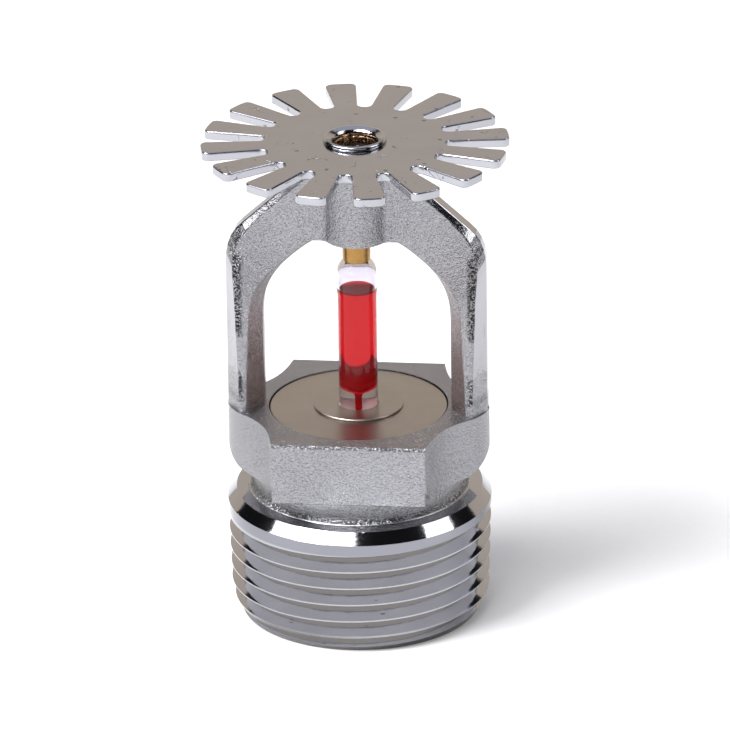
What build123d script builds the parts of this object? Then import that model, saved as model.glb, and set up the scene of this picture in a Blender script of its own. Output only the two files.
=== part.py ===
from build123d import *
import math
import os

# Glass-bulb fire sprinkler head, DN 20, standing on its inlet end with the deflector up.
# Millimetres. Z is the water axis, z = 0 is the inlet end face, and the two frame arms lie along X.

os.makedirs("parts", exist_ok=True)

# ---- inlet thread: R 3/4 taper pipe thread, 14 turns per inch, 55 degree flanks ----
PIPE_PITCH = 25.4 / 14
PIPE_DEPTH = 0.6403 * PIPE_PITCH
PIPE_FLANK = math.radians(27.5)
PIPE_ROOT_HALF = 0.127 * PIPE_PITCH
PIPE_TAPER = 1 / 32
PIPE_TURNS = 7.3
PIPE_START_Z = 10.37 - 7 * PIPE_PITCH
COLLAR_R = 13.26
COLLAR_Z = 12.0
INLET_END_R = 11.95
INLET_LEAD_IN = 2.1

# ---- waterway and valve seat ----
INLET_BORE_R = 8.5
INLET_BORE_LENGTH = 10.0
INLET_BORE_BREAK = 0.4
ORIFICE_R = 6.95
ORIFICE_START_Z = 14.5
SEAT_Z = 20.85
SEAT_RIM_R = 8.0
RECESS_R = 9.0
RECESS_FLOOR_Z = 20.3

# ---- collar, neck and wrench boss ----
SHOULDER_Z = 13.1
SHOULDER_R = 12.35
COLLAR_TOP_RISE = 0.1
NECK_R = 10.6
NECK_FILLET = 0.65
BOSS_BOTTOM_Z = 15.3
BOSS_TOP_Z = 21.65
FLAT_HALF_WIDTH = 7.65
ACROSS_FLATS = 21.9
FLAT_TOP_EDGE_R = 0.35
FLAT_FOOT_EDGE_R = 0.25
LOBE_R = 13.16
UNDERSIDE_START_R = 10.9
UNDERSIDE_HEIGHT = 3.2

# ---- arms: low down a slim diamond in section, high up a flat band with bevelled edges ----
ARM_FOOT_Z = 17.6
ARM_INNER_X = 9.4
ARM_OUTER_X = 13.05
ARM_INNER_BEND_Z = 31.5
ARM_OUTER_BEND_Z = 37.2
ARM_SLOPE_START_X = 11.5
ARM_FOOT_HALF = 3.15
ARM_WAIST_HALF = 2.75
ARM_BAND_HALF = 1.28
ARM_FOOT_INSETS = (1.5, 1.7)
ARM_BAND_INSETS = (0.6, 0.17)
ARM_NOSE_HALF = 0.75
ARM_CORNER_R = 0.3
ARM_BLEND = (0.47, 0.76)
ARM_SECTIONS = 20

# ---- apex boss ----
APEX_R = 3.2
APEX_BOTTOM_Z = 39.8
APEX_WEB_HALF = 1.28
APEX_WEB_REACH = 4.6
APEX_FILLET = 1.0
SHOULDER_SLOPE_TOP = 51.53
SHOULDER_SLOPE = 0.9

# ---- deflector ----
TINES = 16
DEFLECTOR_R = 15.33
DEFLECTOR_BOTTOM_Z = 49.2
DEFLECTOR_THICKNESS = 0.93
DEFLECTOR_TOP_Z = DEFLECTOR_BOTTOM_Z + DEFLECTOR_THICKNESS
SLOT_INNER_R = 9.04
SLOT_END_HALF = 0.72
SLOT_RIM_HALF = 1.42
TINE_CORNER_R = 0.65
DEFLECTOR_EDGE_R = 0.16
SPIGOT_R = 2.75
SPIGOT_CLEARANCE = 0.03
LIP_R = 3.15
LIP_CREST_R = 2.8
LIP_HEIGHT = 0.46
LIP_HOLE_R = 2.1
SPIGOT_BORE_R = 2.3

# ---- compression screw: M4.5 x 0.75, 60 degree flanks ----
SCREW_PITCH = 0.75
SCREW_R = 2.2
SCREW_ROOT_R = 1.74
SCREW_FLANK = math.radians(30)
SCREW_CREST_HALF = SCREW_PITCH / 16
THREAD_CLEARANCE = 0.06
SCREW_TIP_R = 1.4
SCREW_TIP_Z = 37.45
SCREW_SHANK_Z = 40.0
SCREW_TOP_Z = 45.6
SOCKET_FLATS = 2.0
SOCKET_DEPTH = 2.2
TAPPED_TOP_Z = 46.1
THREAD_START_Z = 39.05

# ---- glass bulb and its liquid ----
BULB_R = 1.95
BULB_BULGE_R = 2.13
BULB_BULGE_Z = 35.1
BULB_END_Z = 20.35
BULB_END_R = 0.9
BULB_SEAT_Z = 21.8
BULB_NECK_Z = 33.2
BULB_TOP_Z = 38.2
BULB_WALL = 0.45
LIQUID_TOP_Z = 34.4
LIQUID_SHOULDER_Z = 23.7
STEM_R = 0.25
STEM_TOP_Z = 22.9
STEM_END_Z = 21.3
SCREW_CUP_R = 1.2
SCREW_CUP_DEPTH = 0.95

# ---- valve: disc spring, sealing film and button ----
FIT_GAP = 0.02
SEAL_THICKNESS = 0.2
SEAL_OUTER_R = 8.7
SEAL_INNER_R = 5.2
SPRING_R = 8.91
SPRING_HOLE_R = 3.65
SPRING_THICKNESS = 0.45
SPRING_CONE = 0.1
BUTTON_R = 4.48
BUTTON_FLANGE = 0.18
BUTTON_EDGE_BREAK = 0.05
BUTTON_PLUG_R = 3.6
BUTTON_PLUG_Z = 18.6
BUTTON_HOLLOW_R = 2.6
BUTTON_CLEARANCE = 0.05
SEAL_Z = SEAT_Z + FIT_GAP
SPRING_Z = SEAL_Z + SEAL_THICKNESS + FIT_GAP
BUTTON_Z = SPRING_Z + SPRING_THICKNESS + SPRING_CONE + FIT_GAP


def pipe_crest_r(z):
    """Crest radius of the taper thread at height z."""
    return COLLAR_R - (COLLAR_Z - z) * PIPE_TAPER


def arm_section(inner, outer, share):
    """Eight-sided rounded section of an arm between its inner and outer edge, share of the way up the arm."""
    start, end = ARM_BLEND
    turn = min(max((share - start) / (end - start), 0), 1)
    turn = turn * turn * (3 - 2 * turn)
    low_half = ARM_FOOT_HALF + (ARM_WAIST_HALF - ARM_FOOT_HALF) * min(share / start, 1)
    half = low_half + (ARM_BAND_HALF - low_half) * turn
    outset, inset = (
        low + (high - low) * turn for low, high in zip(ARM_FOOT_INSETS, ARM_BAND_INSETS)
    )
    across = outer - inner
    depth = across.length / 2
    front = [
        (depth, -ARM_NOSE_HALF),
        (depth - outset, -half),
        (-depth + inset, -half),
        (-depth, -ARM_NOSE_HALF),
    ]
    back = [(u, -v) for u, v in reversed(front)]
    plane = Plane(
        origin=(inner + outer) / 2,
        x_dir=across,
        z_dir=Vector(0, -1, 0).cross(across),
    )
    with BuildSketch(plane) as section:
        Polygon(*front, *back, align=None)
        fillet(section.vertices(), ARM_CORNER_R)
    return section.sketch


def screw_thread(inner_r, outer_r, widen, turns):
    """Right-hand helical ridge of the screw's thread between two radii, each flank moved out by widen."""
    with BuildPart() as ridge:
        with BuildLine() as helix:
            Helix(SCREW_PITCH, turns * SCREW_PITCH, SCREW_R, center=(0, 0, THREAD_START_Z))
        path = helix.edges()[0]
        with BuildSketch(Plane(path @ 0, x_dir=(1, 0, 0), z_dir=path % 0)):
            inner_half = SCREW_CREST_HALF + widen + (SCREW_R - inner_r) * math.tan(SCREW_FLANK)
            outer_half = SCREW_CREST_HALF + widen + (SCREW_R - outer_r) * math.tan(SCREW_FLANK)
            with BuildLine():
                Polyline(
                    (outer_r - SCREW_R, outer_half),
                    (inner_r - SCREW_R, inner_half),
                    (inner_r - SCREW_R, -inner_half),
                    (outer_r - SCREW_R, -outer_half),
                    close=True,
                )
            make_face()
        sweep(path=path, is_frenet=True)
    return ridge.part


# ---- stage: wrench boss with a flat front and back and a lobe under each arm ----
with BuildPart() as wrench_boss:
    flat_y = ACROSS_FLATS / 2
    with BuildSketch(Plane.XY.offset(BOSS_BOTTOM_Z)) as boss_plan:
        with BuildLine():
            Line((0, -flat_y), (FLAT_HALF_WIDTH, -flat_y))
            side = Spline(
                (FLAT_HALF_WIDTH, -flat_y),
                (8.55, -7.2),
                (11.1, -3.7),
                tangents=((0.18, 1), (0.75, 0.6)),
            )
            ThreePointArc(side @ 1, ((side @ 1).X + 1.35, -2.2), (LOBE_R, 0))
            Line((LOBE_R, 0), (0, 0))
            Line((0, 0), (0, -flat_y))
        make_face()
        mirror(about=Plane.XZ)
        mirror(about=Plane.YZ)
    extrude(amount=BOSS_TOP_Z - BOSS_BOTTOM_Z)
    # The underside is flat in the middle and rounds up towards the lobes.
    with BuildSketch(Plane.XZ):
        with BuildLine():
            Polyline(
                (UNDERSIDE_START_R, BOSS_BOTTOM_Z),
                (0, BOSS_BOTTOM_Z),
                (0, BOSS_TOP_Z + 1),
                (LOBE_R + 0.1, BOSS_TOP_Z + 1),
                (LOBE_R + 0.1, BOSS_BOTTOM_Z + UNDERSIDE_HEIGHT),
            )
            Spline(
                (UNDERSIDE_START_R, BOSS_BOTTOM_Z),
                (LOBE_R + 0.1, BOSS_BOTTOM_Z + UNDERSIDE_HEIGHT),
                tangents=((1, 0.1), (0.05, 1)),
            )
        make_face()
    revolve(axis=Axis.Z, mode=Mode.INTERSECT)
    # The block between the flats keeps its square lower corners.
    with BuildSketch(Plane.XY.offset(BOSS_BOTTOM_Z)):
        Rectangle(2 * FLAT_HALF_WIDTH, ACROSS_FLATS)
    extrude(amount=BOSS_TOP_Z - BOSS_BOTTOM_Z)
    for edge_z, edge_r in ((BOSS_TOP_Z, FLAT_TOP_EDGE_R), (BOSS_BOTTOM_Z, FLAT_FOOT_EDGE_R)):
        level = wrench_boss.edges().filter_by(Axis.X).filter_by_position(Axis.Z, edge_z, edge_z)
        fillet([edge for edge in level if abs(edge.center().Y) > flat_y - 0.01], edge_r)

# ---- stage: the two arms ----
with BuildLine(Plane.XZ) as inner_edge:
    Line((ARM_INNER_X, ARM_FOOT_Z), (ARM_INNER_X, ARM_INNER_BEND_Z))
    Spline(
        (ARM_INNER_X, ARM_INNER_BEND_Z),
        (8.15, 36.0),
        (5.0, 39.1),
        (0.6, 40.3),
        tangents=((0, 1), (-1, 0)),
    )
with BuildLine(Plane.XZ) as outer_edge:
    Line((ARM_OUTER_X, ARM_FOOT_Z), (ARM_OUTER_X, ARM_OUTER_BEND_Z))
    Spline(
        (ARM_OUTER_X, ARM_OUTER_BEND_Z),
        (ARM_SLOPE_START_X, SHOULDER_SLOPE_TOP - SHOULDER_SLOPE * ARM_SLOPE_START_X),
        tangents=((0, 1), (-1, SHOULDER_SLOPE)),
    )
    Line(
        (ARM_SLOPE_START_X, SHOULDER_SLOPE_TOP - SHOULDER_SLOPE * ARM_SLOPE_START_X),
        (2.9, SHOULDER_SLOPE_TOP - SHOULDER_SLOPE * 2.9),
    )
inner_wire = inner_edge.wires()[0]
outer_wire = outer_edge.wires()[0]
with BuildPart() as arms:
    straight = ARM_BLEND[0]
    shares = [0, straight / 2]
    shares += [straight + (1 - straight) * i / ARM_SECTIONS for i in range(ARM_SECTIONS + 1)]
    for share in shares:
        add(arm_section(inner_wire @ share, outer_wire @ share, share))
    loft(ruled=True)
    mirror(about=Plane.YZ)

# ---- stage: apex boss, with webs that fillet into the arms' faces ----
with BuildPart() as apex:
    with BuildSketch(Plane.XY.offset(APEX_BOTTOM_Z)) as apex_plan:
        Circle(APEX_R)
        Rectangle(2 * APEX_WEB_REACH, 2 * APEX_WEB_HALF)
        corners = [v for v in apex_plan.vertices() if math.hypot(v.X, v.Y) < APEX_R + 0.01]
        fillet(corners, APEX_FILLET)
    extrude(amount=DEFLECTOR_BOTTOM_Z - APEX_BOTTOM_Z)
    with BuildSketch(Plane.XZ):
        with BuildLine():
            Polyline(
                (0, APEX_BOTTOM_Z),
                (APEX_WEB_REACH + 1, APEX_BOTTOM_Z),
                (APEX_WEB_REACH + 1, SHOULDER_SLOPE_TOP - SHOULDER_SLOPE * (APEX_WEB_REACH + 1)),
                (APEX_R, SHOULDER_SLOPE_TOP - SHOULDER_SLOPE * APEX_R),
                (APEX_R, DEFLECTOR_BOTTOM_Z),
                (0, DEFLECTOR_BOTTOM_Z),
                close=True,
            )
        make_face()
    revolve(axis=Axis.Z, mode=Mode.INTERSECT)

# ---- frame: one brass body with the inlet, wrench boss, arms, apex boss and swaged lip ----
with BuildPart() as frame:
    neck_foot_z = SHOULDER_Z + COLLAR_TOP_RISE
    with BuildSketch(Plane.XZ):
        with BuildLine():
            Polyline(
                (0, BOSS_BOTTOM_Z + 1),
                (0, 0),
                (pipe_crest_r(0), 0),
                (COLLAR_R, COLLAR_Z),
                (SHOULDER_R, SHOULDER_Z),
                (NECK_R + NECK_FILLET, neck_foot_z),
            )
            ThreePointArc(
                (NECK_R + NECK_FILLET, neck_foot_z),
                (NECK_R + NECK_FILLET * (1 - 0.5**0.5), neck_foot_z + NECK_FILLET * (1 - 0.5**0.5)),
                (NECK_R, neck_foot_z + NECK_FILLET),
            )
            Polyline(
                (NECK_R, neck_foot_z + NECK_FILLET),
                (NECK_R, BOSS_BOTTOM_Z + 1),
                (0, BOSS_BOTTOM_Z + 1),
            )
        make_face()
    revolve(axis=Axis.Z)
    # Taper pipe thread, cut as one helical groove.
    with BuildLine() as pipe_helix:
        Helix(
            PIPE_PITCH,
            PIPE_TURNS * PIPE_PITCH,
            pipe_crest_r(PIPE_START_Z),
            center=(0, 0, PIPE_START_Z),
            cone_angle=math.degrees(math.atan(PIPE_TAPER)),
        )
    groove_path = pipe_helix.edges()[0]
    with BuildSketch(Plane(groove_path @ 0, x_dir=(1, 0, 0), z_dir=groove_path % 0)):
        mouth = 0.2
        mouth_half = PIPE_ROOT_HALF + (PIPE_DEPTH + mouth) * math.tan(PIPE_FLANK)
        with BuildLine():
            Polyline(
                (mouth, mouth_half),
                (-PIPE_DEPTH, PIPE_ROOT_HALF),
                (-PIPE_DEPTH, -PIPE_ROOT_HALF),
                (mouth, -mouth_half),
                close=True,
            )
        make_face()
    sweep(path=groove_path, is_frenet=True, mode=Mode.SUBTRACT)
    # Bevel that leads the thread in.
    with BuildSketch(Plane.XZ):
        bevel_slope = (pipe_crest_r(INLET_LEAD_IN) - INLET_END_R) / INLET_LEAD_IN
        Polygon(
            (INLET_END_R, 0),
            (INLET_END_R + 2 * INLET_LEAD_IN * bevel_slope, 2 * INLET_LEAD_IN),
            (COLLAR_R + 1, 2 * INLET_LEAD_IN),
            (COLLAR_R + 1, 0),
            align=None,
        )
    revolve(axis=Axis.Z, mode=Mode.SUBTRACT)
    add(wrench_boss.part)
    add(arms.part)
    add(apex.part)
    # Spigot through the deflector, with its end swaged over as a rounded lip.
    lip_seat_z = DEFLECTOR_TOP_Z + FIT_GAP
    lip_top_z = DEFLECTOR_TOP_Z + LIP_HEIGHT
    with BuildSketch(Plane.XZ):
        with BuildLine():
            Polyline(
                (LIP_CREST_R, lip_top_z),
                (0, lip_top_z),
                (0, DEFLECTOR_BOTTOM_Z - 1),
                (SPIGOT_R, DEFLECTOR_BOTTOM_Z - 1),
                (SPIGOT_R, lip_seat_z),
                (LIP_R - 0.06, lip_seat_z),
            )
            Spline(
                (LIP_R - 0.06, lip_seat_z),
                (LIP_R, lip_seat_z + 0.12),
                (LIP_CREST_R, lip_top_z),
                tangents=((1, 0.8), (-1, 0)),
            )
        make_face()
    revolve(axis=Axis.Z)
    # Screw hole: drilled for the tapped thread low down, wider above, with a flared mouth.
    drill_r = SCREW_ROOT_R + THREAD_CLEARANCE
    flare_z = DEFLECTOR_TOP_Z - 0.4
    with BuildSketch(Plane.XZ):
        with BuildLine():
            Polyline(
                (LIP_CREST_R, lip_top_z),
                (LIP_CREST_R, lip_top_z + 1),
                (0, lip_top_z + 1),
                (0, APEX_BOTTOM_Z - 1),
                (drill_r, APEX_BOTTOM_Z - 1),
                (drill_r, TAPPED_TOP_Z),
                (SPIGOT_BORE_R, TAPPED_TOP_Z + SPIGOT_BORE_R - drill_r),
                (SPIGOT_BORE_R, DEFLECTOR_BOTTOM_Z - 0.5),
                (LIP_HOLE_R, DEFLECTOR_BOTTOM_Z),
                (LIP_HOLE_R, flare_z),
            )
            Spline(
                (LIP_HOLE_R, flare_z),
                (LIP_CREST_R, lip_top_z),
                tangents=((0, 1), (1, 0.5)),
            )
        make_face()
    revolve(axis=Axis.Z, mode=Mode.SUBTRACT)
    add(
        screw_thread(SCREW_ROOT_R - 0.05, SCREW_R + THREAD_CLEARANCE, THREAD_CLEARANCE, 10.4),
        mode=Mode.SUBTRACT,
    )
    # Waterway: inlet bore, cone, orifice, and the recess that leaves the raised seat rim.
    with BuildSketch(Plane.XZ):
        with BuildLine():
            Polyline(
                (0, -1),
                (INLET_BORE_R + INLET_BORE_BREAK, -1),
                (INLET_BORE_R + INLET_BORE_BREAK, 0),
                (INLET_BORE_R, INLET_BORE_BREAK),
                (INLET_BORE_R, INLET_BORE_LENGTH),
                (ORIFICE_R, ORIFICE_START_Z),
                (ORIFICE_R, SEAT_Z),
                (SEAT_RIM_R, SEAT_Z),
                (SEAT_RIM_R, RECESS_FLOOR_Z),
                (RECESS_R, RECESS_FLOOR_Z),
                (RECESS_R, BOSS_TOP_Z + 0.5),
                (0, BOSS_TOP_Z + 0.5),
                close=True,
            )
        make_face()
    revolve(axis=Axis.Z, mode=Mode.SUBTRACT)
frame.part.label = "frame"
export_step(frame.part, "parts/frame.step")

# ---- deflector: stamped brass disc with sixteen tines ----
with BuildPart() as deflector:
    with BuildSketch(Plane.XY.offset(DEFLECTOR_BOTTOM_Z)) as tine_plan:
        Circle(DEFLECTOR_R)
        with PolarLocations(0, TINES, start_angle=-90):
            with Locations((SLOT_INNER_R + SLOT_END_HALF, 0)):
                Circle(SLOT_END_HALF, mode=Mode.SUBTRACT)
            slot_flare = (SLOT_RIM_HALF - SLOT_END_HALF) / (
                DEFLECTOR_R - SLOT_INNER_R - SLOT_END_HALF
            )
            slot_start = SLOT_INNER_R + SLOT_END_HALF
            slot_end = DEFLECTOR_R + 1
            slot_end_half = SLOT_END_HALF + slot_flare * (slot_end - slot_start)
            Polygon(
                (slot_start, -SLOT_END_HALF),
                (slot_end, -slot_end_half),
                (slot_end, slot_end_half),
                (slot_start, SLOT_END_HALF),
                align=None,
                mode=Mode.SUBTRACT,
            )
        tips = [v for v in tine_plan.vertices() if math.hypot(v.X, v.Y) > DEFLECTOR_R - 0.05]
        fillet(tips, TINE_CORNER_R)
        Circle(SPIGOT_R + SPIGOT_CLEARANCE, mode=Mode.SUBTRACT)
    extrude(amount=DEFLECTOR_THICKNESS)
    rims = deflector.faces().filter_by(Plane.XY)
    outlines = [face.outer_wire() for face in rims]
    fillet([edge for wire in outlines for edge in wire.edges()], DEFLECTOR_EDGE_R)
deflector.part.label = "deflector"
export_step(deflector.part, "parts/deflector.step")

# ---- stage: the screw's thread, bevelled at its start and end ----
with BuildPart() as trimmed_thread:
    add(screw_thread(SCREW_ROOT_R - 0.05, SCREW_R, 0, 9.4))
    with BuildSketch(Plane.XZ):
        Polygon(
            (0, SCREW_SHANK_Z + 0.3),
            (SCREW_ROOT_R - 0.06, SCREW_SHANK_Z + 0.3),
            (SCREW_R + 0.1, SCREW_SHANK_Z + 0.9),
            (SCREW_R + 0.1, SCREW_TOP_Z - 0.5),
            (SCREW_ROOT_R - 0.06, SCREW_TOP_Z - 0.1),
            (0, SCREW_TOP_Z - 0.1),
            align=None,
        )
    revolve(axis=Axis.Z, mode=Mode.INTERSECT)

# ---- compression screw: threaded set screw with a dog point cupped for the bulb ----
with BuildPart() as compression_screw:
    with BuildSketch(Plane.XZ):
        Polygon(
            (0, SCREW_TIP_Z),
            (SCREW_TIP_R, SCREW_TIP_Z),
            (SCREW_TIP_R, SCREW_SHANK_Z),
            (SCREW_ROOT_R, SCREW_SHANK_Z + 0.3),
            (SCREW_ROOT_R, SCREW_TOP_Z - 0.1),
            (SCREW_ROOT_R - 0.1, SCREW_TOP_Z),
            (0, SCREW_TOP_Z),
            align=None,
        )
    revolve(axis=Axis.Z)
    add(trimmed_thread.part)
    # Hexagon socket in the top.
    with BuildSketch(Plane.XY.offset(SCREW_TOP_Z)):
        RegularPolygon(SOCKET_FLATS / 2, 6, major_radius=False)
    extrude(amount=-SOCKET_DEPTH, mode=Mode.SUBTRACT)
    # Cup for the top of the bulb.
    with BuildSketch(Plane.XZ):
        Polygon(
            (0, SCREW_TIP_Z - 0.1),
            (SCREW_CUP_R, SCREW_TIP_Z - 0.1),
            (SCREW_CUP_R, SCREW_TIP_Z + 0.2),
            (0.5, SCREW_TIP_Z + SCREW_CUP_DEPTH),
            (0, SCREW_TIP_Z + SCREW_CUP_DEPTH),
            align=None,
        )
    revolve(axis=Axis.Z, mode=Mode.SUBTRACT)
compression_screw.part.label = "compression_screw"
export_step(compression_screw.part, "parts/compression_screw.step")

# ---- glass bulb: shell with a bulge at its top and a thick base round a thin stem ----
def draw_cavity(inset):
    """Right half of the bulb's cavity, from its thin stem up to the rounded top, drawn in by inset."""
    stem_r = STEM_R - inset
    body_r = BULB_R - BULB_WALL - inset
    top_z = BULB_TOP_Z - 2.4 * BULB_WALL - inset
    Polyline((0, top_z), (0, STEM_END_Z + inset), (stem_r, STEM_END_Z + inset), (stem_r, STEM_TOP_Z))
    Spline(
        (stem_r, STEM_TOP_Z),
        (body_r, LIQUID_SHOULDER_Z),
        tangents=((0, 1), (0, 1)),
    )
    Line((body_r, LIQUID_SHOULDER_Z), (body_r, BULB_NECK_Z))
    Spline(
        (body_r, BULB_NECK_Z),
        (BULB_BULGE_R - BULB_WALL - inset, BULB_BULGE_Z),
        (0, top_z),
        tangents=((0, 1), (-1, 0)),
    )


with BuildPart() as glass_bulb:
    with BuildSketch(Plane.XZ):
        with BuildLine():
            Polyline((0, BULB_TOP_Z), (0, BULB_END_Z), (BULB_END_R, BULB_END_Z))
            Spline(
                (BULB_END_R, BULB_END_Z),
                (BULB_R, BULB_SEAT_Z),
                tangents=((1, 0.2), (0, 1)),
            )
            Line((BULB_R, BULB_SEAT_Z), (BULB_R, BULB_NECK_Z))
            Spline(
                (BULB_R, BULB_NECK_Z),
                (BULB_BULGE_R, BULB_BULGE_Z),
                (SCREW_CUP_R - BUTTON_CLEARANCE, SCREW_TIP_Z),
                (0, BULB_TOP_Z),
                tangents=((0, 1), (-1, 0)),
            )
        make_face()
    revolve(axis=Axis.Z)
    with BuildSketch(Plane.XZ):
        with BuildLine():
            draw_cavity(0)
        make_face()
    revolve(axis=Axis.Z, mode=Mode.SUBTRACT)
glass_bulb.part.label = "glass_bulb"
export_step(glass_bulb.part, "parts/glass_bulb.step")

# ---- bulb liquid: fills the cavity up to its level, and leaves the vapour bubble above ----
with BuildPart() as bulb_liquid:
    with BuildSketch(Plane.XZ):
        with BuildLine():
            draw_cavity(FIT_GAP)
        make_face()
    revolve(axis=Axis.Z)
    split(bisect_by=Plane.XY.offset(LIQUID_TOP_Z), keep=Keep.BOTTOM)
bulb_liquid.part.label = "bulb_liquid"
export_step(bulb_liquid.part, "parts/bulb_liquid.step")

# ---- sealing film: thin ring between the seat rim and the disc spring ----
with BuildPart() as sealing_film:
    with BuildSketch(Plane.XY.offset(SEAL_Z)):
        Circle(SEAL_OUTER_R)
        Circle(SEAL_INNER_R, mode=Mode.SUBTRACT)
    extrude(amount=SEAL_THICKNESS)
sealing_film.part.label = "sealing_film"
export_step(sealing_film.part, "parts/sealing_film.step")

# ---- disc spring: coned washer that holds the valve shut ----
with BuildPart() as disc_spring:
    with BuildSketch(Plane.XZ):
        Polygon(
            (SPRING_HOLE_R, SPRING_Z + SPRING_CONE),
            (SPRING_R, SPRING_Z),
            (SPRING_R, SPRING_Z + SPRING_THICKNESS - 0.08),
            (SPRING_R - 0.08, SPRING_Z + SPRING_THICKNESS),
            (SPRING_HOLE_R, SPRING_Z + SPRING_THICKNESS + SPRING_CONE),
            align=None,
        )
    revolve(axis=Axis.Z)
disc_spring.part.label = "disc_spring"
export_step(disc_spring.part, "parts/disc_spring.step")

# ---- button: flanged plug in the spring's hole, with the pocket that the bulb stands in ----
with BuildPart() as button:
    button_top_z = BUTTON_Z + BUTTON_FLANGE
    with BuildSketch(Plane.XZ):
        with BuildLine():
            Polyline(
                (BULB_END_R, BULB_END_Z - BUTTON_CLEARANCE),
                (0, BULB_END_Z - BUTTON_CLEARANCE),
                (0, BUTTON_PLUG_Z + 1.0),
                (BUTTON_HOLLOW_R, BUTTON_PLUG_Z + 1.0),
                (BUTTON_HOLLOW_R, BUTTON_PLUG_Z),
                (BUTTON_PLUG_R - 0.2, BUTTON_PLUG_Z),
                (BUTTON_PLUG_R, BUTTON_PLUG_Z + 0.2),
                (BUTTON_PLUG_R, BUTTON_Z),
                (BUTTON_R, BUTTON_Z),
                (BUTTON_R, button_top_z - BUTTON_EDGE_BREAK),
                (BUTTON_R - BUTTON_EDGE_BREAK, button_top_z),
                (BULB_R + BUTTON_CLEARANCE, button_top_z),
                (BULB_R + BUTTON_CLEARANCE, BULB_SEAT_Z),
            )
            Spline(
                (BULB_R + BUTTON_CLEARANCE, BULB_SEAT_Z),
                (BULB_END_R, BULB_END_Z - BUTTON_CLEARANCE),
                tangents=((0, -1), (-1, -0.2)),
            )
        make_face()
    revolve(axis=Axis.Z)
button.part.label = "button"
export_step(button.part, "parts/button.step")
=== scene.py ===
"""Looks for the glass-bulb fire sprinkler head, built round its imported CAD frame. Metres throughout."""

import math

import bmesh
import bpy
from mathutils import Matrix, Vector


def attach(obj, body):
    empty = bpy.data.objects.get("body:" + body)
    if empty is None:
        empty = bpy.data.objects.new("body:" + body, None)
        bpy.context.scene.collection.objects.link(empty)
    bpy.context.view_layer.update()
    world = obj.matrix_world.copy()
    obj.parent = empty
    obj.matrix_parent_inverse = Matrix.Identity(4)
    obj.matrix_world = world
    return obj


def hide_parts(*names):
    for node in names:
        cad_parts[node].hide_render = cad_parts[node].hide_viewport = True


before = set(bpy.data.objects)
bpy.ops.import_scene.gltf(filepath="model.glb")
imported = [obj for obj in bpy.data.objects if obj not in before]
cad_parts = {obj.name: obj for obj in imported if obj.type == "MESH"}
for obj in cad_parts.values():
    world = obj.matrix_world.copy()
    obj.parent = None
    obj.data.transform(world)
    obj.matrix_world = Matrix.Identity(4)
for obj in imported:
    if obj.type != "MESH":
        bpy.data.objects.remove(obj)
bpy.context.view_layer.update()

MM = 0.001

# ---------------------------------------------------------------- camera
# The azimuth and elevation are in degrees, the roll in radians, the lens and sensor in millimetres.
VIEW_AZIMUTH = 6.0
VIEW_ELEVATION = 23.42
VIEW_ROLL = 0.014
VIEW_DISTANCE = 0.93555
VIEW_LENS = 461.3
VIEW_SENSOR = 36.0
VIEW_CLIP = (0.01, 20.0)
VIEW_TARGET = Vector((0.00069, 0.00006, 0.02588))


def viewing_axes(azimuth, elevation):
    """Right, up and backward directions of a camera that looks at the object from that angle."""
    a, e = math.radians(azimuth), math.radians(elevation)
    back = Vector((math.sin(a) * math.cos(e), -math.cos(a) * math.cos(e), math.sin(e)))
    right = Vector((math.cos(a), math.sin(a), 0.0))
    return right, back.cross(right), back


def make_camera():
    """A long lens, looking down at the target from the view's angle."""
    right, up, back = viewing_axes(VIEW_AZIMUTH, VIEW_ELEVATION)
    c, s = math.cos(VIEW_ROLL), math.sin(VIEW_ROLL)
    tilted_right, tilted_up = c * right - s * up, s * right + c * up
    data = bpy.data.cameras.new("camera")
    data.lens = VIEW_LENS
    data.sensor_width = VIEW_SENSOR
    data.clip_start, data.clip_end = VIEW_CLIP
    camera = bpy.data.objects.new("camera", data)
    bpy.context.scene.collection.objects.link(camera)
    turn = Matrix((tilted_right, tilted_up, back)).transposed().to_4x4()
    camera.matrix_world = Matrix.Translation(VIEW_TARGET + back * VIEW_DISTANCE) @ turn
    bpy.context.scene.camera = camera


make_camera()


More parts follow.
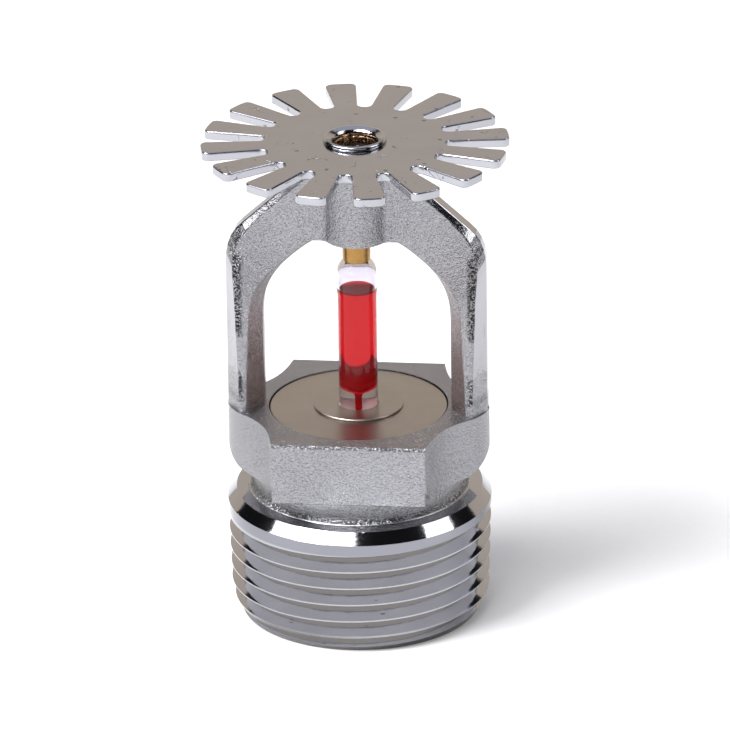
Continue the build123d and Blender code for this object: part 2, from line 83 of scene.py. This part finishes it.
# ---------------------------------------------------------------- node helpers
class Graph:
    """Short calls for building a node tree."""

    def __init__(self, tree):
        self.tree = tree
        tree.nodes.clear()

    def node(self, kind, inputs=(), **settings):
        made = self.tree.nodes.new(kind)
        for name, value in settings.items():
            setattr(made, name, value)
        for name, value in dict(inputs).items():
            self.put(made.inputs[name], value)
        return made

    def put(self, socket, value):
        """Link an output to the socket, or set the socket to a plain value."""
        if isinstance(value, bpy.types.NodeSocket):
            self.tree.links.new(value, socket)
        else:
            socket.default_value = value

    def math(self, operation, a, b=0.0, c=0.0):
        made = self.node("ShaderNodeMath", operation=operation)
        for socket, value in zip(made.inputs, (a, b, c)):
            self.put(socket, value)
        return made.outputs[0]

    def add(self, a, b):
        return self.math("ADD", a, b)

    def subtract(self, a, b):
        return self.math("SUBTRACT", a, b)

    def times(self, a, b):
        return self.math("MULTIPLY", a, b)

    def larger(self, a, b):
        return self.math("MAXIMUM", a, b)

    def absolute(self, value):
        return self.math("ABSOLUTE", value)

    def step(self, value, low, high):
        """0 below low, 1 above high and smooth between them; low above high turns it over."""
        flipped = low > high
        made = self.node(
            "ShaderNodeMapRange",
            {"Value": value, "From Min": min(low, high), "From Max": max(low, high),
             "To Min": 1.0 if flipped else 0.0, "To Max": 0.0 if flipped else 1.0},
            interpolation_type="SMOOTHSTEP",
        )
        return made.outputs[0]

    def between(self, value, low, high, soft):
        """1 where the value lies between low and high, fading out over soft at each end."""
        return self.times(self.step(value, low - soft, low + soft),
                          self.step(value, high + soft, high - soft))

    def split(self, vector):
        return self.node("ShaderNodeSeparateXYZ", {"Vector": vector}).outputs

    def scaled(self, vector, scale):
        return self.node("ShaderNodeMapping", {"Vector": vector, "Scale": scale}).outputs[0]

    def noise(self, vector, scale, detail=2.0, roughness=0.5, distortion=0.0):
        made = self.node(
            "ShaderNodeTexNoise",
            {"Vector": vector, "Scale": scale, "Detail": detail, "Roughness": roughness,
             "Distortion": distortion},
        )
        return made.outputs[0]

    def cells(self, vector, scale):
        """Distance to the middle of the nearest cell."""
        return self.node("ShaderNodeTexVoronoi", {"Vector": vector, "Scale": scale}).outputs["Distance"]

    def blend(self, share, a, b, kind="MIX"):
        """Colour a turned into colour b by that share."""
        made = self.node("ShaderNodeMix", data_type="RGBA", blend_type=kind, clamp_factor=True)
        for place, value in ((0, share), (6, a), (7, b)):
            self.put(made.inputs[place], value)
        return made.outputs[2]

    def lerp(self, share, a, b):
        """Number a turned into number b by that share."""
        made = self.node("ShaderNodeMix", data_type="FLOAT", clamp_factor=True)
        for place, value in ((0, share), (2, a), (3, b)):
            self.put(made.inputs[place], value)
        return made.outputs[0]

    def bump(self, height, distance, normal=None):
        made = self.node("ShaderNodeBump", {"Height": height, "Distance": distance, "Strength": 1.0})
        if normal is not None:
            self.put(made.inputs["Normal"], normal)
        return made.outputs[0]

    def rounded_edge(self, radius):
        """A surface normal that turns smoothly over the mesh's sharp edges."""
        return self.node("ShaderNodeBevel", {"Radius": radius}, samples=4).outputs[0]


def rgb(r, g, b):
    return (r, g, b, 1.0)


def new_material(name):
    """A material, its graph, its shader and the position on the object."""
    material = bpy.data.materials.new(name)
    material.use_nodes = True
    g = Graph(material.node_tree)
    shader = g.node("ShaderNodeBsdfPrincipled")
    g.put(g.node("ShaderNodeOutputMaterial").inputs["Surface"], shader.outputs[0])
    return material, g, shader, g.node("ShaderNodeTexCoord").outputs["Object"]


# ---------------------------------------------------------------- surroundings
FLOOR_HALF = 6.0
FLOOR_TINTS = rgb(0.90, 0.90, 0.90), rgb(0.93, 0.93, 0.93)

# What a direction meets: x to the right, y away and z up, after a turn by the view's azimuth.
BACKDROP_BEIGE = rgb(0.70, 0.62, 0.53)
BACKDROP_LEFT, BACKDROP_RIGHT = -0.84, 0.56
BACKDROP_EDGE = (-0.01, 0.01)
BACKDROP_TOP = (0.535, 0.515)
CEILING_BLUE = rgb(0.60, 0.61, 0.70)
CEILING_SLOPE = 0.35
CEILING_EDGE = (0.855, 0.875)
FRONT_GREY = rgb(0.55, 0.55, 0.58)
FRONT_SPREAD = 1.1
FRONT_EDGE = (-0.08, -0.12)
FRONT_TOP = (0.36, 0.30)
SHADE = rgb(0.010, 0.010, 0.012)

KEY_DIRECTION = (-0.493, -0.296, 0.818)
KEY_ALONG = (-0.904, 0.685, -0.259)
FILL_DIRECTION = (0.75, -0.07, 0.64)
FILL_ALONG = (0.17, 0.368, -0.158)
LIT_POINT = Vector((0, 0, 0.02))
AREA_LIGHT_WATTS = 4.0  # power of one square metre of area light whose radiance is 1


def make_world():
    """A beige wall behind, a pale ceiling, dark gaps at the sides and a grey wall in front."""
    world = bpy.data.worlds.new("studio")
    bpy.context.scene.world = world
    world.use_nodes = True
    g = Graph(world.node_tree)
    direction = g.node("ShaderNodeTexCoord").outputs["Generated"]
    turned = g.node("ShaderNodeVectorRotate",
                    {"Vector": direction, "Angle": -math.radians(VIEW_AZIMUTH)},
                    rotation_type="Z_AXIS").outputs[0]
    x, y, z = g.split(turned)
    aside = g.larger(g.times(x, BACKDROP_LEFT), g.times(x, BACKDROP_RIGHT))
    behind = g.times(g.step(g.subtract(y, aside), *BACKDROP_EDGE), g.step(z, *BACKDROP_TOP))
    ceiling = g.step(g.add(z, g.times(y, CEILING_SLOPE)), *CEILING_EDGE)
    nearness = g.add(y, g.times(g.absolute(x), FRONT_SPREAD))
    ahead = g.times(g.step(nearness, *FRONT_EDGE), g.step(z, *FRONT_TOP))
    whole = g.blend(ceiling, SHADE, CEILING_BLUE)
    whole = g.blend(behind, whole, BACKDROP_BEIGE)
    whole = g.blend(ahead, whole, FRONT_GREY)
    sheet = g.node("ShaderNodeBackground", {"Color": whole, "Strength": 1.0})
    g.put(g.node("ShaderNodeOutputWorld").inputs["Surface"], sheet.outputs[0])


def softbox(name, direction, along, distance, width, height, radiance):
    """A rectangular light in one direction, its width along another, both turned by the azimuth."""
    turn = Matrix.Rotation(math.radians(VIEW_AZIMUTH), 3, "Z")
    toward = (turn @ Vector(direction)).normalized()
    side = turn @ Vector(along)
    side = (side - side.dot(toward) * toward).normalized()
    data = bpy.data.lights.new(name, "AREA")
    data.shape = "RECTANGLE"
    data.size, data.size_y = width, height
    data.energy = radiance * AREA_LIGHT_WATTS * width * height
    light = bpy.data.objects.new(name, data)
    bpy.context.scene.collection.objects.link(light)
    basis = Matrix((side, toward.cross(side), toward)).transposed().to_4x4()
    light.matrix_world = Matrix.Translation(LIT_POINT + toward * distance) @ basis
    light.visible_camera = False


def make_floor():
    """A wide matt floor, off-white with a very fine mottle."""
    mesh = bpy.data.meshes.new("floor")
    h = FLOOR_HALF
    mesh.from_pydata([(-h, -h, 0), (h, -h, 0), (h, h, 0), (-h, h, 0)], [], [(0, 1, 2, 3)])
    floor = bpy.data.objects.new("floor", mesh)
    bpy.context.scene.collection.objects.link(floor)
    material, g, shader, where = new_material("floor_paint")
    g.put(shader.inputs["Base Color"], g.blend(g.noise(where, 900.0, detail=3.0), *FLOOR_TINTS))
    g.put(shader.inputs["Roughness"], 0.8)
    g.put(shader.inputs["Specular IOR Level"], 0.1)
    mesh.materials.append(material)


make_world()
make_floor()
softbox("key_left", KEY_DIRECTION, KEY_ALONG, distance=0.9, width=1.04, height=0.50, radiance=3.5)
softbox("key_core", KEY_DIRECTION, KEY_ALONG, distance=0.88, width=0.32, height=0.30, radiance=15.5)
softbox("fill_right", FILL_DIRECTION, FILL_ALONG, distance=0.9, width=0.37, height=0.60, radiance=2.7)
bpy.context.scene.view_settings.view_transform = "Standard"


# ---------------------------------------------------------------- materials
# Places on the frame casting: heights unless the name says otherwise.
COLLAR_TOP = 13.25 * MM
RIM_BAND = (10.8 * MM, 12.6 * MM)
CREST_RADIUS = 13.25 * MM
ARM_ROOT = 23.0 * MM
ARM_EDGE_X = 11.3 * MM
ARM_SHOULDER = (37.0 * MM, 38.0 * MM)
LIP_START = (49.6 * MM, 49.8 * MM)
LIP_HOLE_START = (46.0 * MM, 47.0 * MM)
LIP_HOLE_RADIUS = (2.25 * MM, 2.12 * MM)
SPECKLED_HEIGHTS = ((30.2 * MM, 38.4 * MM), (22.6 * MM, 26.0 * MM))
# Heights of the painted reflection of the red bulb on the arms' inner faces.
BULB_REFLECTION_HEIGHTS = (ARM_ROOT - 2.0 * MM, 33.0 * MM)

MADE_TINT = rgb(0.45, 0.45, 0.475)
CAST_TINT = rgb(0.385, 0.385, 0.405)
# Grime, and the painted dark speckle that stands in for dark reflections in rough metal.
GRIME_AND_PAINTED_DARK = rgb(0.03, 0.03, 0.033)
# Painted reflection of the red bulb on the arms' inner faces.
BULB_REFLECTION_PAINT_TINTS = rgb(0.23, 0.17, 0.17), rgb(0.48, 0.39, 0.39)
# Painted shade in the thread roots.
THREAD_ROOT_PAINTED_SHADE = rgb(0.13, 0.12, 0.115)
# Painted shade with a blue-grey reflection tint on the rim band.
RIM_PAINTED_SHADE = rgb(0.22, 0.225, 0.26)
LIP_HOLE_TINTS = rgb(0.10, 0.055, 0.03), rgb(0.40, 0.27, 0.16)
SHEET_TINT = rgb(0.43, 0.43, 0.465)
SCRATCH_BROWN = rgb(0.10, 0.09, 0.085)
VALVE_TINTS = rgb(0.40, 0.355, 0.315), rgb(0.46, 0.415, 0.375)
FILM_TINTS = rgb(0.60, 0.58, 0.54), rgb(0.72, 0.70, 0.66)
BRASS_TINTS = rgb(0.27, 0.145, 0.04), rgb(0.42, 0.25, 0.085)
GLASS_TINTS = rgb(0.85, 0.83, 0.89), rgb(0.88, 0.86, 0.92)
FLUID_TINTS = rgb(0.62, 0.006, 0.010), rgb(0.68, 0.010, 0.015)
FOOT_TINTS = rgb(0.86, 0.70, 0.66), rgb(0.93, 0.82, 0.78)

# Chosen, and lower than those of real glass and liquid.
GLASS_IOR = 1.35
FLUID_IOR = 1.06
FLUID_TRANSMISSION = 0.85


def uneven(g, tint, where, low, spread, scale):
    """A colour that varies a little over the surface."""
    tone = g.add(low, g.times(g.noise(where, scale, detail=3.0), spread))
    shade = g.node("ShaderNodeCombineColor", {"Red": tone, "Green": tone, "Blue": tone}).outputs[0]
    return g.blend(1.0, tint, shade, "MULTIPLY")


def casting_material():
    """Bright nickel plate: cast grain above the collar, turned and roll-formed metal below it, with
    painted shade and painted reflections in places.
    """
    material, g, shader, where = new_material("plated_casting")
    normal = g.split(g.node("ShaderNodeNewGeometry").outputs["True Normal"])
    x, y, z = g.split(where)
    radius = g.math("SQRT", g.add(g.times(x, x), g.times(y, y)))
    outward = g.times(normal[0], g.math("SIGN", x))
    upright = g.step(g.absolute(normal[2]), 0.55, 0.40)

    # Where the surface is cast, and how grainy it is there.
    cast = g.step(z, COLLAR_TOP - 0.05 * MM, COLLAR_TOP + 0.05 * MM)
    below = g.subtract(1.0, cast)
    fettled = g.times(g.step(outward, 0.80, 0.90), g.step(z, ARM_ROOT, ARM_ROOT + 1.0 * MM))
    slope_top = g.times(g.step(normal[2], 0.35, 0.5), g.step(z, *ARM_SHOULDER))
    smooth = g.larger(g.larger(fettled, slope_top), g.step(z, *LIP_START))
    grainy = g.times(cast, g.lerp(smooth, 1.0, 0.10))

    # Rough patches with ragged ends, on the arms' outer corners; dark speckles are also painted on them
    # below.
    edge_of_arm = g.step(g.absolute(x), ARM_EDGE_X - 0.3 * MM, ARM_EDGE_X + 0.3 * MM)
    ragged = g.add(z, g.times(g.add(g.noise(where, 1300.0), -0.5), 3.0 * MM))
    upper, lower = (g.between(ragged, low, high, 0.3 * MM) for low, high in SPECKLED_HEIGHTS)
    speckled = g.times(g.times(edge_of_arm, g.larger(upper, lower)), g.step(outward, 0.9, 0.8))

    # Relief.
    grain = g.noise(where, 6800.0, roughness=0.6)
    coarse = g.noise(where, 3000.0)
    pits = g.step(g.cells(where, 3000.0), 0.22, 0.08)
    turning = g.noise(g.scaled(where, (0.05, 0.05, 1.0)), 9000.0)
    waves = g.noise(g.scaled(where, (1.0, 1.0, 2.0)), 330.0, detail=3.0)
    dents = g.step(g.cells(g.scaled(where, (1.0, 1.0, 2.2)), 300.0), 0.12, 0.03)
    rough_grain = g.times(grain, g.add(1.0, g.times(speckled, 1.6)))
    cast_height = g.add(g.add(rough_grain, g.times(coarse, 0.8)), g.times(pits, -0.25))
    made_height = g.add(g.add(g.times(turning, 0.02), g.times(waves, 0.22)), g.times(dents, -0.20))
    g.put(shader.inputs["Normal"], g.bump(g.lerp(grainy, made_height, cast_height), 0.12 * MM))

    # Colour: grime and painted dark speckle on the cast metal, a painted reflection of the bulb on the
    # inner faces, painted shade in the thread roots and on the rim band, and the lip hole.
    tint = uneven(g, g.blend(grainy, MADE_TINT, CAST_TINT), where, 0.93, 0.14, 180.0)
    grime = g.larger(g.times(g.step(grain, 0.47, 0.40), 0.20), g.times(pits, 0.30))
    rounded = g.times(g.between(normal[2], 0.22, 0.90, 0.08), g.subtract(1.0, slope_top))
    # Painted shade: black speckles on the rough patches and rounded edges stand in for dark reflections
    # in the rough cast metal.
    wear_and_painted_dark = g.larger(g.times(speckled, 0.97), g.times(rounded, 0.80))
    painted_dark_speckle = g.times(g.step(g.noise(where, 4600.0, roughness=0.6), 0.54, 0.50), wear_and_painted_dark)
    tint = g.blend(g.times(grainy, g.larger(grime, painted_dark_speckle)), tint, GRIME_AND_PAINTED_DARK)
    # Painted reflection: a rosy speckled tint on the arms' inward faces stands in for the red bulb's
    # reflection.
    inward = g.times(g.step(outward, -0.25, -0.6), g.between(ragged, *BULB_REFLECTION_HEIGHTS, 2.0 * MM))
    reflection_speckle = g.step(g.noise(where, 5200.0, roughness=0.6), 0.44, 0.54)
    tint = g.blend(g.times(inward, 0.6), tint, g.blend(reflection_speckle, *BULB_REFLECTION_PAINT_TINTS))
    # Painted shade: the thread roots are darkened where shade falls between the turns.
    root_shade_mask = g.times(upright, g.step(radius, CREST_RADIUS - 0.35 * MM, CREST_RADIUS - 0.6 * MM))
    tint = g.blend(g.times(below, g.times(root_shade_mask, 0.9)), tint, THREAD_ROOT_PAINTED_SHADE)
    # Painted shade: the upright rim band is darkened and tinted blue-grey as a stand-in for its
    # reflection.
    rolling_marks_and_rim_shade = g.times(g.times(upright, g.between(z, *RIM_BAND, 0.1 * MM)), 0.75)
    tint = g.blend(g.times(below, rolling_marks_and_rim_shade), tint, RIM_PAINTED_SHADE)
    hole = g.times(g.step(radius, *LIP_HOLE_RADIUS), g.step(z, *LIP_HOLE_START))
    streak = g.noise(g.scaled(where, (1.0, 1.0, 0.04)), 2600.0)
    tint = g.blend(hole, tint, g.blend(g.step(streak, 0.4, 0.6), *LIP_HOLE_TINTS))
    g.put(shader.inputs["Base Color"], tint)

    dullness = g.lerp(grainy, 0.06, 0.20)
    g.put(shader.inputs["Roughness"], g.add(dullness, g.times(g.noise(where, 700.0), 0.05)))
    g.put(shader.inputs["Metallic"], 1.0)
    return material


def sheet_material():
    """Plated sheet of the deflector: smooth, with rolling marks, fine scratches and small nicks."""
    material, g, shader, where = new_material("plated_sheet")
    waves = g.noise(where, 260.0, detail=3.0)
    rolling_marks_and_rim_shade = g.noise(g.scaled(where, (1.0, 14.0, 1.0)), 420.0, roughness=0.6)
    wear_and_painted_dark = g.step(g.noise(where, 420.0, detail=1.0), 0.58, 0.64)
    line = g.absolute(g.subtract(g.noise(where, 310.0, detail=1.0, distortion=1.2), 0.5))
    scratch = g.times(g.step(line, 0.008, 0.003), wear_and_painted_dark)
    nicked = g.step(g.noise(where, 700.0, detail=1.0), 0.45, 0.5)
    nicks = g.times(g.step(g.cells(where, 460.0), 0.13, 0.07), nicked)
    marks = g.larger(scratch, nicks)
    height = g.add(g.add(g.times(waves, 1.2), g.times(rolling_marks_and_rim_shade, 0.2)), g.times(marks, -1.6))
    g.put(shader.inputs["Normal"], g.bump(height, 0.03 * MM, g.rounded_edge(0.10 * MM)))
    tint = uneven(g, SHEET_TINT, where, 0.94, 0.12, 240.0)
    g.put(shader.inputs["Base Color"], g.blend(g.times(marks, 0.6), tint, SCRATCH_BROWN))
    g.put(shader.inputs["Roughness"], g.add(0.10, g.times(g.noise(where, 800.0), 0.06)))
    g.put(shader.inputs["Metallic"], 1.0)
    return material


def valve_material():
    """Nickel of the disc spring and button: brown-grey, fine-grained."""
    material, g, shader, where = new_material("valve_nickel")
    grain = g.noise(where, 5200.0, detail=3.0, roughness=0.6)
    g.put(shader.inputs["Normal"], g.bump(grain, 0.016 * MM, g.rounded_edge(0.05 * MM)))
    g.put(shader.inputs["Base Color"], g.blend(g.noise(where, 500.0, detail=3.0), *VALVE_TINTS))
    g.put(shader.inputs["Roughness"], g.add(0.26, g.times(grain, 0.10)))
    g.put(shader.inputs["Metallic"], 1.0)
    return material


def film_material():
    """Seal film between the valve and its seat: white fluoropolymer."""
    material, g, shader, where = new_material("seal_film")
    g.put(shader.inputs["Base Color"], g.blend(g.noise(where, 1500.0), *FILM_TINTS))
    g.put(shader.inputs["Normal"], g.bump(g.noise(where, 2500.0), 0.004 * MM))
    g.put(shader.inputs["Roughness"], g.add(0.4, g.times(g.noise(where, 900.0), 0.2)))
    return material


def brass_material():
    """Bare brass of the compression screw, with turning marks."""
    material, g, shader, where = new_material("screw_brass")
    turning = g.noise(g.scaled(where, (1.0, 1.0, 30.0)), 400.0)
    g.put(shader.inputs["Base Color"], g.blend(g.noise(where, 900.0, detail=3.0), *BRASS_TINTS))
    g.put(shader.inputs["Normal"], g.bump(turning, 0.006 * MM))
    g.put(shader.inputs["Roughness"], g.add(0.22, g.times(g.noise(where, 2000.0), 0.12)))
    g.put(shader.inputs["Metallic"], 1.0)
    return material


def glass_material():
    """Clear glass of the bulb, faintly wavy."""
    material, g, shader, where = new_material("bulb_glass")
    g.put(shader.inputs["Base Color"], g.blend(g.noise(where, 400.0), *GLASS_TINTS))
    g.put(shader.inputs["Roughness"], g.times(g.noise(where, 500.0), 0.01))
    g.put(shader.inputs["Normal"], g.bump(g.noise(where, 300.0), 0.004 * MM))
    g.put(shader.inputs["Transmission Weight"], 1.0)
    g.put(shader.inputs["IOR"], GLASS_IOR)
    return material


def fluid_material():
    """Red liquid in the bulb."""
    material, g, shader, where = new_material("bulb_fluid")
    g.put(shader.inputs["Base Color"], g.blend(g.noise(where, 300.0), *FLUID_TINTS))
    g.put(shader.inputs["Roughness"], g.times(g.noise(where, 500.0), 0.01))
    g.put(shader.inputs["Transmission Weight"], FLUID_TRANSMISSION)
    g.put(shader.inputs["IOR"], FLUID_IOR)
    return material


def foot_material():
    """Ground glass at the bulb's foot: milky, faintly pink."""
    material, g, shader, where = new_material("ground_glass")
    g.put(shader.inputs["Base Color"], g.blend(g.noise(where, 1800.0), *FOOT_TINTS))
    g.put(shader.inputs["Normal"], g.bump(g.noise(where, 4000.0), 0.006 * MM))
    g.put(shader.inputs["Roughness"], g.add(0.35, g.times(g.noise(where, 900.0), 0.2)))
    return material


for make_finish, nodes in (
    (casting_material, ("frame",)),
    (sheet_material, ("deflector",)),
    (brass_material, ("compression_screw",)),
    (valve_material, ("disc_spring", "button")),
    (film_material, ("sealing_film",)),
):
    finish = make_finish()
    for name in nodes:
        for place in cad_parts[name].material_slots:
            place.material = finish


# ---------------------------------------------------------------- bulb
TURNS = 96
ON_AXIS = 1e-9
PATH_STEPS = 4


def ring(bm, r, z):
    """Vertices round the axis at that radius and height: only one where the radius is nothing."""
    if r < ON_AXIS:
        return [bm.verts.new((0, 0, z))]
    angles = [2 * math.pi * k / TURNS for k in range(TURNS)]
    return [bm.verts.new((r * math.cos(a), r * math.sin(a), z)) for a in angles]


def revolved(name, outlines, material):
    """A piece turned about the axis from (radius, height) outlines, each closed or ending on the axis."""
    bm = bmesh.new()
    for outline in outlines:
        rings = [ring(bm, r, z) for r, z in outline]
        if outline[0] == outline[-1]:
            for vert in rings.pop():
                bm.verts.remove(vert)
            rings.append(rings[0])
        for a, b in zip(rings, rings[1:]):
            for k in range(TURNS):
                n = (k + 1) % TURNS
                corners = (a[k % len(a)], a[n % len(a)], b[n % len(b)], b[k % len(b)])
                bm.faces.new(list(dict.fromkeys(corners)))
    for face in bm.faces:
        face.smooth = True
    mesh = bpy.data.meshes.new(name)
    bm.to_mesh(mesh)
    bm.free()
    piece = bpy.data.objects.new(name, mesh)
    bpy.context.scene.collection.objects.link(piece)
    mesh.materials.append(material)
    return piece


def catmull_rom(a, b, c, d, t):
    """The value at share t of the way from b to c."""
    return 0.5 * (2 * b + (c - a) * t + (2 * a - 5 * b + 4 * c - d) * t * t
                  + (3 * b - a - 3 * c + d) * t ** 3)


def smooth_path(knots):
    """A Catmull-Rom line through knots of (radius, height), with its first and last knots kept."""
    points = []
    for k in range(len(knots) - 1):
        around = [knots[max(0, min(len(knots) - 1, k + d))] for d in (-1, 0, 1, 2)]
        for i in range(PATH_STEPS):
            points.append(tuple(catmull_rom(*values, i / PATH_STEPS) for values in zip(*around)))
    points.append(knots[-1])
    return [(max(0.0, r), z) for r, z in points]


# Outlines of the bulb as (radius, height) in millimetres.
BULB_OUTER = [
    (0.0, 20.35), (0.62, 20.37), (1.10, 20.52), (1.52, 20.85), (1.81, 21.35), (1.93, 21.9),
    (1.95, 22.6), (1.95, 26.0), (1.95, 30.0), (1.95, 32.8), (1.97, 33.6), (2.07, 34.3),
    (2.13, 35.0), (2.13, 35.6), (2.03, 36.25), (1.80, 36.85), (1.45, 37.32), (1.14, 37.55),
    (0.85, 37.75), (0.5, 38.0), (0.0, 38.15),
]
BULB_CAVITY = [
    (0.0, 21.3), (0.17, 21.32), (0.25, 21.5), (0.25, 22.3), (0.27, 22.75), (0.42, 23.05),
    (0.90, 23.3), (1.36, 23.55), (1.61, 23.95), (1.70, 24.5), (1.70, 27.0), (1.70, 30.0),
    (1.70, 32.9), (1.72, 33.6), (1.82, 34.3), (1.88, 35.0), (1.86, 35.6), (1.74, 36.2),
    (1.44, 36.65), (1.0, 36.95), (0.5, 37.08), (0.0, 37.12),
]
FOOT_OUTLINE = [
    (0.75, 20.45), (1.12, 20.50), (1.54, 20.83), (1.83, 21.33), (1.952, 21.80), (1.80, 21.62),
    (1.45, 21.05), (1.05, 20.75), (0.75, 20.62), (0.75, 20.45),
]
LIQUID_LEVEL = 34.35
LIQUID_OVERLAP = 0.03
MENISCUS_RISE = 0.32
MENISCUS_STEPS = 12


def meniscus(rim_r, rim_z):
    """The liquid's surface from its rim in to the axis: drawn up at the wall and flat in the middle."""
    shares = [1 - k / MENISCUS_STEPS for k in range(1, MENISCUS_STEPS + 1)]
    return [(rim_r * share, rim_z + MENISCUS_RISE * (share ** 4 - 1)) for share in shares]


def bulb_pieces():
    """The glass with its bubble, the liquid that just reaches into the bubble, and the ground foot."""
    cavity = smooth_path(BULB_CAVITY)
    wetted = [(r, z) for r, z in cavity if z < LIQUID_LEVEL and r > 0]
    surface = meniscus(*wetted[-1])
    fill = BULB_CAVITY[:1] + wetted + surface
    bubble = [p for p in cavity[::-1] if p[1] >= LIQUID_LEVEL]
    bubble += [(r, z - LIQUID_OVERLAP) for r, z in wetted[-1:] + surface]
    wall, bubble, fill, foot = (
        [(r * MM, z * MM) for r, z in line]
        for line in (smooth_path(BULB_OUTER), bubble, fill, FOOT_OUTLINE)
    )
    glass = revolved("bulb_glass", (wall, bubble), glass_material())
    liquid = revolved("bulb_liquid_fill", (fill,), fluid_material())
    return glass, liquid, revolved("bulb_foot", (foot,), foot_material())


glass_piece, liquid_piece, foot_piece = bulb_pieces()
for piece, node, slot in (
    (glass_piece, "glass_bulb", "bulb_glass"),
    (liquid_piece, "bulb_liquid", "bulb_fluid"),
    (foot_piece, "glass_bulb", "bulb_glass"),
):
    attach(piece, "stack")
    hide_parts(node)
